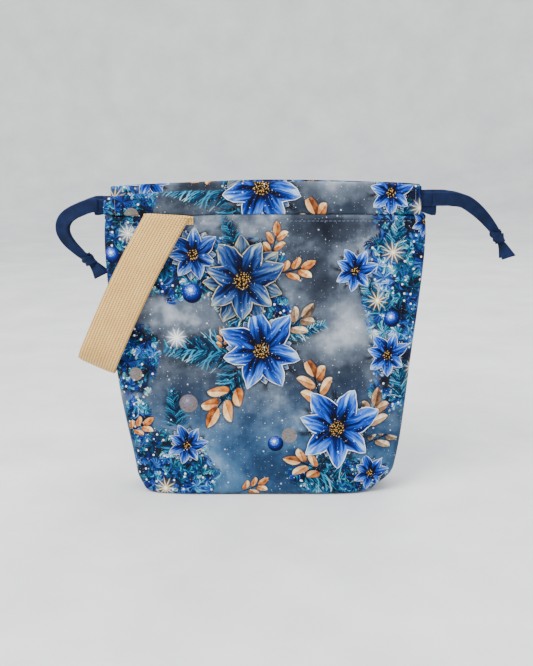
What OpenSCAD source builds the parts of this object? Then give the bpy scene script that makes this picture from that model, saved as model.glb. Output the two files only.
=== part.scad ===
// Free-standing drawstring project bag for knitting: a boxed, wadded and lined cotton body,
// two open-ended collar casings, a webbing wrist handle and two flat tape drawstrings.
// +X runs to the bag's right, +Y to its back and +Z up. The origin is the middle of the base,
// on the surface that the bag stands on.

/* [Body] */
// Height of the sewn body, from the table to the collar seam
body_h = 228; // [215:1:240]
// Width of the body at the collar seam
top_w = 254; // [246:1:262]
// Depth of the body at the collar seam
top_d = 28; // [27:1:31]
// Width of the boxed base
base_w = 206; // [200:1:212]
// Depth of the boxed base
base_d = 55; // [50:1:60]
// How far the walls tuck in where they turn into the base
base_tuck = 5; // [3:1:7]
// How square the plan is: 2 is an oval, higher is nearer to a rectangle
squareness = 5; // [4:0.5:7]

/* [Layers] */
// Thickness of the printed outer cotton
outer_t = 0.5; // [0.4:0.1:0.8]
// Thickness of the wadding that lets the bag stand
wadding_t = 2.5; // [1.5:0.1:3]
// Thickness of the lining cotton
lining_t = 0.5; // [0.4:0.1:0.8]
// Space between one layer and the next
layer_gap = 0.1; // [0.1:0.05:0.3]

/* [Collar] */
// Height of a collar casing above its seam
collar_h = 27; // [26:0.5:30]
// Length of a collar casing between its open ends
collar_w = 248; // [240:1:250]
// Thickness of a collar casing over both of its walls
collar_t = 5; // [5:0.1:6]
// Thickness of one doubled wall of a casing
collar_wall = 0.6; // [0.5:0.1:0.8]

/* [Handle] */
// Width of the webbing
strap_w = 32; // [25:1:38]
// Thickness of the webbing
strap_t = 1.8; // [1.4:0.1:2]
// Distance from the fold at the seam to the bottom of the hanging loop
strap_drop = 142; // [130:1:150]
// Radius of the bottom bend, at the middle of the webbing
strap_bend_r = 24; // [22:1:26]
// How far the hanging loop leans out from the vertical, in degrees
strap_lean = 25; // [22:1:28]
// Distance of the handle from the bag's centreline
strap_offset = 76; // [70:1:80]
// Height of the fold above the collar seam
fold_rise = 2; // [1:0.5:3]

/* [Drawstrings] */
// Width of the flat tape
tape_w = 11; // [10:0.5:11.5]
// Thickness of the flat tape
tape_t = 1.2; // [0.8:0.1:1.2]
// How far a tape's bridge stands out past the collar's ends
bridge_reach = 10.5; // [9:0.5:12]

/* [Stitching] */
// Length of one topstitch
stitch_l = 2.6; // [2:0.1:3]
// Distance from one stitch to the next
stitch_pitch = 3.4; // [3.2:0.1:4.5]
// Width of the thread
thread_w = 0.5; // [0.3:0.1:0.6]

/* [Hidden] */
$fn = 48;

front = -1;
back = 1;
right = 1;
left = -1;

// Colours
print_blue = [0.30, 0.40, 0.56];
wadding_white = [0.93, 0.92, 0.89];
lining_navy = [0.13, 0.19, 0.33];
webbing_cream = [0.90, 0.83, 0.66];
tape_navy = [0.09, 0.15, 0.32];
thread_blue = [0.62, 0.68, 0.78];

// Body: the wall swells out of the base and then rises nearly straight, as a share of the height
belly_power = 2.2;
WALL_LEVELS = [4, 8, 14, 24, 38, 56, 80, 108, 138, 170, 200, body_h];
plan_steps = 20;

// Layers, measured inwards from the outer face
wadding_from = outer_t + layer_gap;
lining_from = wadding_from + wadding_t + layer_gap;
lining_to = lining_from + lining_t;

// Collar: the middle of each casing stands just inside the body's front or back face
collar_y = (top_d - collar_t) / 2;
channel_t = collar_t - 2 * collar_wall;
channel_floor = 1;

// Handle
strap_gap = 0.6;
tab_y = top_d / 2 + 0.1 + strap_t / 2;
leg_y = tab_y + strap_t + strap_gap;
fold_z = body_h + fold_rise;
leg_spread_at = 60;
tab_h = 6;

// Drawstrings. In a casing the two tapes lie in an outer and an inner lane, and where they change
// lanes, near the middle, one is above the other.
lane_shift = 1;
bridge_z = body_h + 7;
high_z = body_h + 19.5;
exit_z = body_h + 12;
exit_reach = 13;
swap_share = 0.28;
run_steps = 16;
bridge_corner_r = 3.5;
bridge_corner_steps = 4;
tape_edge = 0.3;

// Route of the right drawstring's front strand, from where it leaves the casing, down through
// the knot and on to the end of its tail. The back strand is its mirror image.
RIGHT_ROUTE = [
    [131, -14.2, 240], [135, -14.2, 240], [139, -14.0, 240], [143, -13.2, 240],
    [147, -12.0, 239.5], [151, -10.6, 239], [155, -9.0, 238], [159, -7.6, 236.5],
    [163, -6.2, 234], [167, -5.0, 231], [171, -4.0, 227.5], [175, -3.0, 223.5],
    [179, -2.0, 219], [183, -1.2, 214], [186, -1.0, 209], [189, -1.2, 204],
    [192, -2.4, 198.5], [195, -4.0, 192.5]
];

// The same for the left drawstring, whose strands turn back under their own bend
LEFT_ROUTE = [
    [-131, -14.2, 235], [-135, -14.2, 235], [-139, -14.0, 234], [-143, -13.0, 232.5],
    [-147, -11.6, 230.8], [-151, -10.0, 229], [-155, -8.4, 226.8], [-159, -6.8, 223.5],
    [-161.5, -5.4, 219], [-162, -4.2, 213.5], [-160, -3.2, 208], [-156.5, -2.2, 203],
    [-152, -1.4, 198.5], [-147, -1.0, 194], [-142, -1.2, 190], [-138, -2.2, 186],
    [-134.5, -3.4, 182], [-131.5, -4.6, 178]
];
KNOT_STEP = 14;
knot_r = 6.2;
knot_half_l = 7.5;
knot_steps = 12;

// Stitching
stitch_drop = 5;
stitch_margin = 12;
hem_inset = 7;
thread_proud = 0.05;

// ---- Functions ----

function unit(v) = v / norm(v);
function ease(t) = let (c = min(1, max(0, t))) c * c * (3 - 2 * c);

// Half width and half depth of the outer face at height z
function tuck(z) = base_tuck * max(0, 1 - z / WALL_LEVELS[0]);
function swell(z) = 1 - pow(1 - z / body_h, belly_power);
function half_w(z) = base_w / 2 + swell(z) * (top_w - base_w) / 2 - tuck(z);
function half_d(z) = base_d / 2 + (z / body_h) * (top_d - base_d) / 2 - tuck(z) / 2;

// Point on half of the plan at angle a, inset from the outer face
function plan_point(z, a, inset, side) = [
    (half_w(z) - inset) * sign(cos(a)) * pow(abs(cos(a)), 2 / squareness),
    side * (half_d(z) - inset) * pow(abs(sin(a)), 2 / squareness),
    z
];
function plan_row(z, inset, side) =
    [for (j = [0 : plan_steps]) plan_point(z, 180 * j / plan_steps, inset, side)];

// Depth of the outer face at a place across the bag
function face_y(x, z) = half_d(z) * pow(1 - pow(abs(x) / half_w(z), squareness), 1 / squareness);

// Two triangles for each quad of a grid of points, numbered by rows of n from `from`
function grid_faces(from, rows, n, turned) = [
    for (i = [0 : rows - 2], j = [0 : n - 2])
        let (p = from + i * n + j, q = [p, p + 1, p + n + 1, p + n])
        for (f = turned ? [[q[0], q[2], q[1]], [q[0], q[3], q[2]]]
                        : [[q[0], q[1], q[2]], [q[0], q[2], q[3]]])
            f
];

// Tape section: a flat rectangle with its corners taken off, width along w, thickness along n
function tape_ring(c, w, n) = [
    for (k = [[1, 1, 0], [1, 1, 1], [-1, 1, 1], [-1, 1, 0], [-1, -1, 0], [-1, -1, 1], [1, -1, 1], [1, -1, 0]])
        c + k[0] * (tape_w / 2 - k[2] * tape_edge) * w + k[1] * (tape_t / 2 - (1 - k[2]) * tape_edge) * n
];
function tangent(path, i) = unit(path[min(i + 1, len(path) - 1)] - path[max(i - 1, 0)]);

// Heights and lanes of a drawstring along a casing, where t runs from 1 at the end that it is
// pulled from to -1 at the end that it bridges
function settle(t) = ease((abs(t) - swap_share) / (1 - swap_share));
function upper_run_z(t) = high_z + settle(t) * ((t > 0 ? exit_z : bridge_z) - high_z);
function run_lane(t) = collar_y + lane_shift * (2 * ease((t / swap_share + 1) / 2) - 1);

// The bridge from the front casing to the back one, at the end that is not pulled
function bridge_points() =
    let (x = collar_w / 2 + bridge_reach - bridge_corner_r, y = run_lane(-1) - bridge_corner_r)
    [for (side = [front, back], k = [0 : bridge_corner_steps])
        let (a = 90 * (side == front ? k : bridge_corner_steps - k) / bridge_corner_steps)
        [-x - bridge_corner_r * sin(a), side * (y + bridge_corner_r * cos(a)), bridge_z]];

// Path of the hidden run, as though it is pulled to the right
function run_path(upper) =
    let (half = [for (k = [0 : run_steps])
            let (t = 1 - 2 * k / run_steps)
            [t * collar_w / 2, run_lane(t), upper ? upper_run_z(t) : bridge_z]],
        stub = [[collar_w / 2 + exit_reach, run_lane(1), upper ? exit_z : bridge_z]],
        out = concat(stub, half))
    concat([for (p = out) [p[0], -p[1], p[2]]], bridge_points(),
        [for (i = [len(out) - 1 : -1 : 0]) out[i]]);

// ---- Shared shapes ----

// Half of one layer of the body: a wall and its half of the base, from one inset to a deeper one
module half_layer(from, to, side) {
    outside = [for (z = concat([from], WALL_LEVELS)) plan_row(z, from, side)];
    inside = [for (z = concat([to], WALL_LEVELS)) plan_row(z, to, side)];
    rows = len(outside);
    n = plan_steps + 1;
    points = [for (row = concat(outside, inside), p = row) p];
    in0 = rows * n;
    walls = concat(grid_faces(0, rows, n, side == back), grid_faces(in0, rows, n, side == front));
    rim_out = (rows - 1) * n;
    rim_in = in0 + rim_out;
    rim = [for (j = [0 : n - 2]) [rim_out + j, rim_out + j + 1, rim_in + j + 1, rim_in + j]];
    bottom = [for (j = [n - 1 : -1 : 0]) j];
    ground = [for (j = [0 : n - 1]) in0 + j];
    last = n - 1;
    side_seams = [for (i = [0 : rows - 2])
        let (a = i * n, b = a + n)
        for (f = [[a, b, in0 + b, in0 + a], [in0 + a + last, in0 + b + last, b + last, a + last]]) f];
    base_seam = [in0, in0 + last, last, 0];
    flat = concat(rim, side_seams, [bottom, ground, base_seam]);
    polyhedron(points = points, convexity = 6,
        faces = concat(walls, [for (f = flat) side == front ? f : [for (i = [len(f) - 1 : -1 : 0]) f[i]]]));
}

// Flat tape along a path; widths holds the direction of the tape's width at each point
module tape(path, widths) {
    rings = [for (i = [0 : len(path) - 1])
        let (t = tangent(path, i), w = unit(widths[i])) tape_ring(path[i], w, unit(cross(t, w)))];
    n = 8;
    last = len(path) - 1;
    sides = [for (i = [0 : last - 1], j = [0 : n - 1])
        let (a = i * n + j, b = i * n + (j + 1) % n)
        for (f = [[a, b, b + n], [a, b + n, a + n]]) f];
    polyhedron(points = [for (r = rings, p = r) p], convexity = 8,
        faces = concat(sides, [[for (j = [n - 1 : -1 : 0]) j]], [[for (j = [0 : n - 1]) last * n + j]]));
}

module strand(route, side) {
    path = [for (p = route) [p[0], -side * p[1], p[2]]];
    tape(path, [for (i = [0 : len(path) - 1]) cross(tangent(path, i), [0, 1, 0])]);
}

module tape_run(upper) {
    path = run_path(upper);
    tape(path, [for (p = path) [0, 0, 1]]);
}

// Knot: a barrel along the strands
module knot(route) {
    turn = atan2(tangent(route, KNOT_STEP)[0], tangent(route, KNOT_STEP)[2]);
    translate([route[KNOT_STEP][0], 0, route[KNOT_STEP][2]])
        rotate([0, turn, 0])
            rotate_extrude()
                polygon([for (k = [0 : knot_steps])
                    let (a = 180 * k / knot_steps) [knot_r * sin(a), -knot_half_l * cos(a)]]);
}

module casing_outline(thick, high) {
    translate([-thick / 2, 0])
        square([thick, high - thick / 2]);
    translate([0, high - thick / 2])
        circle(d = thick);
}

module casing(side) {
    translate([-collar_w / 2, side * collar_y, body_h])
        rotate([90, 0, 90])
            linear_extrude(height = collar_w)
                difference() {
                    casing_outline(collar_t, collar_h);
                    translate([0, channel_floor])
                        casing_outline(channel_t, collar_h - channel_floor - collar_wall);
                }
}

// Outline of the handle loop seen along the bag's width: two legs that spread, and a round bottom
module loop_outline(inset) {
    bend_at = strap_drop - strap_bend_r;
    half_t = strap_t / 2 - inset;
    top = strap_w / 2;
    polygon([
        [-leg_y - half_t, top], [-leg_y - half_t, 0], [-strap_bend_r - half_t, -leg_spread_at],
        [-strap_bend_r - half_t, -bend_at], [strap_bend_r + half_t, -bend_at],
        [strap_bend_r + half_t, -leg_spread_at], [leg_y + half_t, 0], [leg_y + half_t, top]
    ]);
    translate([0, -bend_at])
        circle(r = strap_bend_r + half_t);
}

module handle_tab(side) {
    translate([-strap_offset - strap_w / 2, side * tab_y - strap_t / 2, fold_z - tab_h])
        cube([strap_w, strap_t, tab_h]);
}

module topstitch(side) {
    z = body_h - stitch_drop;
    count = floor((top_w - 2 * stitch_margin) / stitch_pitch);
    for (k = [0 : count - 1]) {
        x = (k - (count - 1) / 2) * stitch_pitch;
        y = side * (face_y(x, z - thread_w) + thread_proud);
        translate([x - stitch_l / 2, side == front ? y - thread_w : y, z - thread_w / 2])
            cube([stitch_l, thread_w, thread_w]);
    }
}

module hem_stitches(side) {
    count = floor((collar_h - 4) / stitch_pitch);
    for (end = [left, right], face = [front, back], k = [0 : count - 1]) {
        y = side * collar_y + face * (collar_t / 2 + thread_proud);
        z = body_h + 1.5 + k * stitch_pitch;
        translate([end * (collar_w / 2 - hem_inset) - thread_w / 2, face == front ? y - thread_w : y, z])
            cube([thread_w, thread_w, stitch_l]);
    }
}

// ---- Sub-parts ----

module outer_front() { color(print_blue) half_layer(0, outer_t, front); }
module outer_back() { color(print_blue) half_layer(0, outer_t, back); }
module wadding_front() { color(wadding_white) half_layer(wadding_from, wadding_from + wadding_t, front); }
module wadding_back() { color(wadding_white) half_layer(wadding_from, wadding_from + wadding_t, back); }
module lining_front() { color(lining_navy) half_layer(lining_from, lining_to, front); }
module lining_back() { color(lining_navy) half_layer(lining_from, lining_to, back); }
module casing_front() { color(print_blue) casing(front); }
module casing_back() { color(print_blue) casing(back); }

module handle_webbing() {
    reach = 2 * strap_drop;
    color(webbing_cream)
        intersection() {
            translate([-strap_offset, 0, fold_z])
                rotate([0, strap_lean, 0])
                    translate([-strap_w / 2, 0, 0])
                        rotate([90, 0, 90])
                            linear_extrude(height = strap_w)
                                difference() {
                                    loop_outline(0);
                                    loop_outline(strap_t);
                                }
            translate([-strap_offset - reach / 2, -reach / 2, fold_z - reach])
                cube(reach);
        }
}

module handle_tab_front() { color(webbing_cream) handle_tab(front); }
module handle_tab_back() { color(webbing_cream) handle_tab(back); }

module right_tape_run() { color(tape_navy) tape_run(true); }
module right_strand_front() { color(tape_navy) strand(RIGHT_ROUTE, front); }
module right_strand_back() { color(tape_navy) strand(RIGHT_ROUTE, back); }
module right_knot() { color(tape_navy) knot(RIGHT_ROUTE); }
module left_tape_run() { color(tape_navy) rotate([0, 0, 180]) tape_run(false); }
module left_strand_front() { color(tape_navy) strand(LEFT_ROUTE, front); }
module left_strand_back() { color(tape_navy) strand(LEFT_ROUTE, back); }
module left_knot() { color(tape_navy) knot(LEFT_ROUTE); }

module topstitch_front() { color(thread_blue) topstitch(front); }
module topstitch_back() { color(thread_blue) topstitch(back); }
module hem_stitches_front() { color(thread_blue) hem_stitches(front); }
module hem_stitches_back() { color(thread_blue) hem_stitches(back); }

outer_front();
outer_back();
wadding_front();
wadding_back();
lining_front();
lining_back();
casing_front();
casing_back();
handle_webbing();
handle_tab_front();
handle_tab_back();
right_tape_run();
right_strand_front();
right_strand_back();
right_knot();
left_tape_run();
left_strand_front();
left_strand_back();
left_knot();
topstitch_front();
topstitch_back();
hem_stitches_front();
hem_stitches_back();
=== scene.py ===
import math

import bmesh
import bpy
import numpy as np
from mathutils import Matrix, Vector


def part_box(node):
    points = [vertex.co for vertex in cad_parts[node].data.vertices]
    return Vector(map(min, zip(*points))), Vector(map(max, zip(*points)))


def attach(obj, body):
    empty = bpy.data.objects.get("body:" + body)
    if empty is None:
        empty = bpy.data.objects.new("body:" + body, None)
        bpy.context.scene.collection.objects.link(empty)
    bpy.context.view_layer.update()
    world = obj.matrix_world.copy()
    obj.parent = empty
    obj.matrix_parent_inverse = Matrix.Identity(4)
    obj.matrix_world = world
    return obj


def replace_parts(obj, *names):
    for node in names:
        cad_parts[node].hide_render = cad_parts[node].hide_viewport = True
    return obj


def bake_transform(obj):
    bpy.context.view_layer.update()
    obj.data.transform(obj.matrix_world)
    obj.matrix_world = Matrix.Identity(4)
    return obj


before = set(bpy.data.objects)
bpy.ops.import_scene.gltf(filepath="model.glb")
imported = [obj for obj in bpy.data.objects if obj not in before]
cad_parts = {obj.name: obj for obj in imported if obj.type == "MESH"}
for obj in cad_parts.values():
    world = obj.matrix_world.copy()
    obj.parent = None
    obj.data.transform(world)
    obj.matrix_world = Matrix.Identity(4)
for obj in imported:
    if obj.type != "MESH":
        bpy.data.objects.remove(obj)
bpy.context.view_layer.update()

# The CAD model's box, kept before anything else is made
MM = 0.001
FRONT = -1
BACK = 1
SIDES = ((FRONT, "front"), (BACK, "back"))

# ---- Sizes in millimetres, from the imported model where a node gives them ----

OUTER_LOW, OUTER_HIGH = (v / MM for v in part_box("outer_front"))
CASING_LOW, CASING_HIGH = (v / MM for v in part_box("casing_front"))
TAB_LOW, TAB_HIGH = (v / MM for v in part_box("handle_tab_front"))

BODY_H = OUTER_HIGH[2]
TOP_HALF_W = OUTER_HIGH[0]
BASE_HALF_W = 103.0
BASE_HALF_D = -OUTER_LOW[1]
TOP_HALF_D = 14.0
BELLY_POWER = 2.2
SQUARENESS = 5.0
COLLAR_HALF_W = CASING_HIGH[0]
COLLAR_H = CASING_HIGH[2] - CASING_LOW[2]
COLLAR_T = CASING_HIGH[1] - CASING_LOW[1]
COLLAR_Y = -(CASING_HIGH[1] + CASING_LOW[1]) / 2
COLLAR_WALL = 0.6
OUTER_T = 0.5
WADDING_FROM = 0.6
WADDING_TO = 3.1
LINING_FROM = 3.2
LINING_TO = 3.7
TAPE_W = 11.0
TAPE_T = 1.0
TAPE_SLACK = 6.0
TOPSTITCH_DOWN = 5.0
STRAP_W = TAB_HIGH[0] - TAB_LOW[0]
STRAP_T = TAB_HIGH[1] - TAB_LOW[1]

# ---- Drawstring routes, the same points as the CAD cords, front strand, in millimetres ----

RIGHT_ROUTE = [
    (131, -14.2, 240), (135, -14.2, 240), (139, -14.0, 240), (143, -13.2, 240),
    (147, -12.0, 239.5), (151, -10.6, 239), (155, -9.0, 238), (159, -7.6, 236.5),
    (163, -6.2, 234), (167, -5.0, 231), (171, -4.0, 227.5), (175, -3.0, 223.5),
    (179, -2.0, 219), (183, -1.2, 214), (186, -1.0, 209), (189, -1.2, 204),
    (192, -2.4, 198.5), (195, -4.0, 192.5),
]
LEFT_ROUTE = [
    (-131, -14.2, 235), (-135, -14.2, 235), (-139, -14.0, 234), (-143, -13.0, 232.5),
    (-147, -11.6, 230.8), (-151, -10.0, 229), (-155, -8.4, 226.8), (-159, -6.8, 223.5),
    (-161.5, -5.4, 219), (-162, -4.2, 213.5), (-160, -3.2, 208), (-156.5, -2.2, 203),
    (-152, -1.4, 198.5), (-147, -1.0, 194), (-142, -1.2, 190), (-138, -2.2, 186),
    (-134.5, -3.4, 182), (-131.5, -4.6, 178),
]
# The point of each route where its knot sits, and where a tape leaves and clears its casing
KNOT_STEP = 14
HELD_X = 131.0
FREE_X = 139.0


# ---- Small helpers ----

def ease(t):
    """0 below 0, 1 above 1 and a smooth turn between."""
    c = np.clip(t, 0.0, 1.0)
    return c * c * (3 - 2 * c)


def bump(t, centre, width):
    """A smooth hill, 1 at its centre and nearly 0 two widths away."""
    return np.exp(-((t - centre) / width) ** 2)


def new_object(name, verts, faces):
    """A smooth-shaded mesh object from points in millimetres."""
    mesh = bpy.data.meshes.new(name)
    mesh.from_pydata([tuple(float(c) * MM for c in v) for v in verts], [], faces)
    mesh.update()
    mesh.polygons.foreach_set("use_smooth", [True] * len(mesh.polygons))
    obj = bpy.data.objects.new(name, mesh)
    bpy.context.scene.collection.objects.link(obj)
    return obj


def set_uv(obj, per_vertex):
    """A UV map in metres of cloth, one value for each vertex."""
    layer = obj.data.uv_layers.new(name="cloth")
    loops = np.zeros(len(obj.data.loops), dtype=np.int32)
    obj.data.loops.foreach_get("vertex_index", loops)
    uv = np.asarray(per_vertex, dtype=np.float64)[loops] * MM
    layer.data.foreach_set("uv", uv.ravel())


def finish_piece(obj, material, body=None):
    """Material and body of a piece."""
    obj.data.materials.clear()
    obj.data.materials.append(material)
    if body:
        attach(obj, body)
    return obj


def grid_quads(rows, cols, start=0, flip=False, wrap=False):
    """Faces of a grid of points numbered row by row."""
    out = []
    for i in range(rows - 1):
        for j in range(cols if wrap else cols - 1):
            k = (j + 1) % cols
            a = start + i * cols + j
            b = start + i * cols + k
            quad = (a, b, b + cols, a + cols)
            out.append(quad[::-1] if flip else quad)
    return out


def spline(points, count):
    """count points evenly spaced on a smooth curve through the given ones."""
    p = np.array(points, dtype=float)
    ext = np.vstack([2 * p[0] - p[1], p, 2 * p[-1] - p[-2]])
    dense = []
    for i in range(1, len(ext) - 2):
        for t in np.linspace(0, 1, 24, endpoint=False):
            a, b, c, d = ext[i - 1], ext[i], ext[i + 1], ext[i + 2]
            dense.append(0.5 * (2 * b + (c - a) * t + (2 * a - 5 * b + 4 * c - d) * t ** 2
                                + (3 * b - a - 3 * c + d) * t ** 3))
    dense.append(ext[-2])
    return resample(np.array(dense), count)


def resample(line, count):
    """The same line with its points evenly spaced."""
    step = np.linalg.norm(np.diff(line, axis=0), axis=1)
    run = np.concatenate([[0], np.cumsum(step)])
    at = np.linspace(0, run[-1], count)
    return np.stack([np.interp(at, run, line[:, k]) for k in range(line.shape[1])], axis=1)


def tangents(line):
    """Unit direction at each point of a line."""
    t = np.gradient(line, axis=0)
    return t / np.linalg.norm(t, axis=1)[:, None]


# ---- Camera: lens and sensor in millimetres, place in metres, how far it looks down in degrees ----

LENS = 51.35
SENSOR = 36
CAMERA_AT = (0.001, -0.760, 0.294)
CAMERA_DOWN = 12.18


def make_camera():
    """The photograph's view: a little above the bag's middle, looking slightly down."""
    data = bpy.data.cameras.new("camera")
    data.lens = LENS
    data.sensor_width = SENSOR
    data.dof.use_dof = False
    cam = bpy.data.objects.new("camera", data)
    cam.location = CAMERA_AT
    cam.rotation_euler = (math.radians(90 - CAMERA_DOWN), 0, 0)
    bpy.context.scene.collection.objects.link(cam)
    bpy.context.scene.camera = cam


# ---- Materials: a small way of writing node formulas ----

# How much deeper a printed colour comes out when it sinks into the cotton
INK_DEPTH = 1.52
# Real sizes in millimetres: threads of the print's cotton and of the lining, ribs of the tape,
# plies of the sewing thread, and columns and stitches of the webbing
PRINT_WEAVE = 0.55
LINING_WEAVE = 0.42
TAPE_RIB = 0.8
THREAD_PLY = 0.42
WEB_COLUMN = 2.2
WEB_STITCH = 1.6


def srgb(text):
    """A hex colour as linear light."""
    values = [int(text[i:i + 2], 16) / 255 for i in (0, 2, 4)]
    return tuple(v / 12.92 if v <= 0.04045 else ((v + 0.055) / 1.055) ** 2.4 for v in values)


def ink(text):
    """A printed colour: it sinks into the cotton and comes out a little deeper."""
    return tuple(v ** INK_DEPTH for v in srgb(text))


class Value:
    """A number or vector that a node puts out, with arithmetic on it."""

    def __init__(self, graph, socket):
        self.graph = graph
        self.socket = socket

    def __rsub__(self, other):
        return self.graph.math("SUBTRACT", other, self)


# The math node for each operator of a Value
OPERATORS = {
    "__add__": "ADD", "__radd__": "ADD", "__sub__": "SUBTRACT", "__mul__": "MULTIPLY",
    "__rmul__": "MULTIPLY", "__truediv__": "DIVIDE", "__mod__": "FLOORED_MODULO", "__pow__": "POWER",
    "__lt__": "LESS_THAN", "__gt__": "GREATER_THAN", "__abs__": "ABSOLUTE", "__round__": "ROUND",
}


def through_node(op):
    """A method that puts a Value, and what it meets, through a math node."""
    return lambda *values: values[0].graph.math(op, *values)


for method, op in OPERATORS.items():
    setattr(Value, method, through_node(op))


class Graph:
    """The node tree of one material. Colours are hex texts that the tree's own dye reads."""

    def __init__(self, name, dye=srgb):
        self.material = bpy.data.materials.new(name)
        self.material.use_nodes = True
        self.tree = self.material.node_tree
        self.tree.nodes.clear()
        self.dye = dye

    def feed(self, socket, value):
        """Gives a socket a node's output, a hex colour, or a plain value."""
        if isinstance(value, Value):
            self.tree.links.new(value.socket, socket)
        elif isinstance(value, str):
            socket.default_value = (*self.dye(value), 1.0)
        else:
            socket.default_value = value

    def node(self, kind, inputs, out=0, **settings):
        """One output of a new node. inputs gives its sockets by number or by name."""
        n = self.tree.nodes.new(kind)
        for key, value in settings.items():
            setattr(n, key, value)
        for key, value in inputs.items():
            self.feed(n.inputs[key], value)
        return Value(self, n.outputs[out])

    def math(self, op, *args):
        return self.node("ShaderNodeMath", dict(enumerate(args)), operation=op)

    def vector(self, op, *args):
        return self.node("ShaderNodeVectorMath", dict(enumerate(args)), operation=op)

    def sine(self, value):
        return self.math("SINE", value)

    def above(self, value, low=0.0):
        """The value, or low where it is less."""
        return self.math("MAXIMUM", value, low)

    def chance(self, value):
        """A number from 0 to 1 that looks drawn by lot for each value."""
        return self.math("FRACT", self.sine(value) * 43.7)

    def length(self, v):
        return self.node("ShaderNodeVectorMath", {0: v}, "Value", operation="LENGTH")

    def scaled(self, v, factor):
        return self.node("ShaderNodeVectorMath", {0: v, "Scale": factor}, operation="SCALE")

    def cloth(self):
        """Cloth coordinates in millimetres."""
        return self.scaled(self.node("ShaderNodeUVMap", {}, uv_map="cloth"), 1 / MM)

    def parts(self, v):
        x = self.node("ShaderNodeSeparateXYZ", {0: v})
        return [Value(self, o) for o in x.socket.node.outputs]

    def join(self, x, y, z=0.0):
        return self.node("ShaderNodeCombineXYZ", {0: x, 1: y, 2: z})

    def step(self, value, low, high, first=0.0, last=1.0):
        """A smooth turn from first to last while value goes from low to high."""
        return self.node("ShaderNodeMapRange", dict(enumerate((value, low, high, first, last))),
                         interpolation_type="SMOOTHSTEP")

    def fade(self, value, low, high):
        """1 below low, 0 above high and a smooth turn between."""
        return self.step(value, low, high, 1.0, 0.0)

    def noise(self, v, size, detail=2.0, rough=0.5, warp=0.0):
        """Noise whose lumps are about size millimetres across."""
        inputs = {"Vector": v, "Scale": 1 / size, "Detail": detail, "Roughness": rough, "Distortion": warp}
        return self.node("ShaderNodeTexNoise", inputs, noise_dimensions="3D")

    def cells(self, v, size, out="Distance"):
        """Cells about size millimetres across."""
        return self.node("ShaderNodeTexVoronoi", {"Vector": v, "Scale": 1 / size}, out,
                         voronoi_dimensions="2D")

    def ramp(self, value, *stops):
        """Colour by value: stops are pairs of a place from 0 to 1 and a colour."""
        out = self.node("ShaderNodeValToRGB", {0: value})
        elements = out.socket.node.color_ramp.elements
        while len(elements) < len(stops):
            elements.new(0.5)
        for element, (at, _) in zip(elements, stops):
            element.position = at
        for element, (_, colour) in zip(elements, stops):
            element.color = (*self.dye(colour), 1.0)
        return out

    def mix(self, factor, a, b):
        return self.node("ShaderNodeMix", {0: factor, 6: a, 7: b}, 2, data_type="RGBA")

    def mix_number(self, factor, a, b):
        return self.node("ShaderNodeMix", {0: factor, 2: a, 3: b}, 0, data_type="FLOAT")

    def mix_vector(self, factor, a, b):
        return self.node("ShaderNodeMix", {0: factor, 4: a, 5: b}, 1, data_type="VECTOR")

    def surface(self, colour, rough, height, distance=0.1, sheen=0.0, tint=(1.0, 1.0, 1.0), specular=0.3):
        """The material's shader. The relief is distance millimetres deep where height is 1."""
        relief = self.node("ShaderNodeBump", {"Strength": 1.0, "Distance": distance * MM, "Height": height})
        shader = self.node("ShaderNodeBsdfPrincipled", {
            "Base Color": colour, "Roughness": rough, "Specular IOR Level": specular, "Sheen Weight": sheen,
            "Sheen Roughness": 0.5, "Sheen Tint": (*tint, 1.0), "Normal": relief})
        out = self.tree.nodes.new("ShaderNodeOutputMaterial")
        self.feed(out.inputs[0], shader)
        return self.material


def plain_weave(g, p, pitch):
    """Height of a plain weave: threads go over and under each other."""
    x, y, _ = g.parts(g.scaled(p, math.pi / pitch))
    warp = abs(g.sine(x))
    weft = abs(g.sine(y))
    over = g.sine(x * 0.5 + y * 0.5) * g.sine(x * 0.5 - y * 0.5)
    side = g.step(over, -0.2, 0.2)
    return warp * side + weft * (1.0 - side)


def twill_rows(g, p, pitch, slant):
    """Height of a twill: fine slanted ribs."""
    x, y, _ = g.parts(p)
    return abs(g.sine((x * slant + y) * (math.pi / pitch)))


def webbing_material():
    """Natural cotton webbing: narrow columns of slanted stitches along its length."""
    g = Graph("webbing")
    p = g.cloth()
    x, y, _ = g.parts(p)
    column = x * (1 / WEB_COLUMN) + (g.noise(p, 7.0, 2.0) - 0.5) * 0.25
    place = g.math("FRACT", column)
    way = g.math("PINGPONG", g.math("FLOOR", column), 1.0) * 2.0 - 1.0
    round_top = g.sine(place * math.pi)
    stitch = abs(g.sine((y + way * place * 1.1 + way * 0.4) * (math.pi / WEB_STITCH)))
    fuzz = g.noise(p, 0.5, 3.0)
    dash = stitch ** 0.7 * round_top ** 0.5
    height = dash * 0.75 + round_top * 0.2 + fuzz * 0.15
    patches = g.noise(p, 22.0, 3.0)
    base = g.ramp(patches, (0.25, "D7A354"), (0.55, "E7B766"), (0.8, "F0CA82"))
    # Painted shade: the low gaps between the stitches are darkened towards brown
    tone = g.mix(g.step(height, 0.2, 0.85), "7A5524", base)
    strands = g.step(g.noise(g.join(x * 4.0, y * 0.3), 1.0, 2.0), 0.35, 0.7)
    tone = g.mix(strands * 0.2, tone, "F8E4B8")
    rough = g.step(height, 0.0, 1.0, 0.95, 0.78)
    return g.surface(tone, rough, height, 0.3, 0.12, (1.0, 0.92, 0.75), 0.1)


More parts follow.
